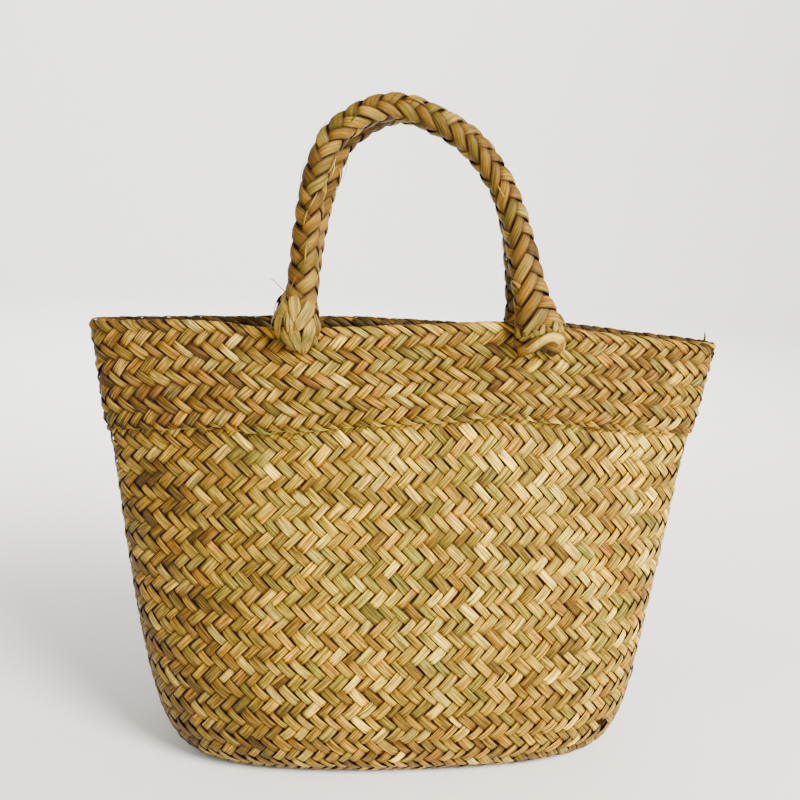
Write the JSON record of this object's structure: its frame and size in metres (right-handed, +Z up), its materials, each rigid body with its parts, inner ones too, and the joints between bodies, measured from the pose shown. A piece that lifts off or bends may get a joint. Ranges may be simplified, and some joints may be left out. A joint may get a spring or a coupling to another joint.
{
  "type": "straw basket bag",
  "caption": "Hollow woven straw basket bag with a wide, nearly closed mouth, a turned-down double band at the rim and a pair of braided straw handles.",
  "frame": {"origin": "middle of the flat base, on the surface the bag stands on", "axes": "+X along the mouth to the right seen from the front, +Y from the front to the back, +Z up towards the handles"},
  "size_m": [0.3248, 0.102, 0.3445],
  "materials": {
    "straw_weave": "flat straw strips in a herringbone twill, dry, with a slight natural gloss and colour changes from strip to strip",
    "straw_band": "the same straw strips turned down over the rim in a double layer",
    "straw_braid": "wider, smoother straw strips in a round braid, a little browner than the basket"
  },
  "bodies": {
    "root": {"basket_body": "straw_weave", "rim_band": "straw_band", "handle_front": "straw_braid", "handle_back": "straw_braid"}
  },
  "joints": []
}
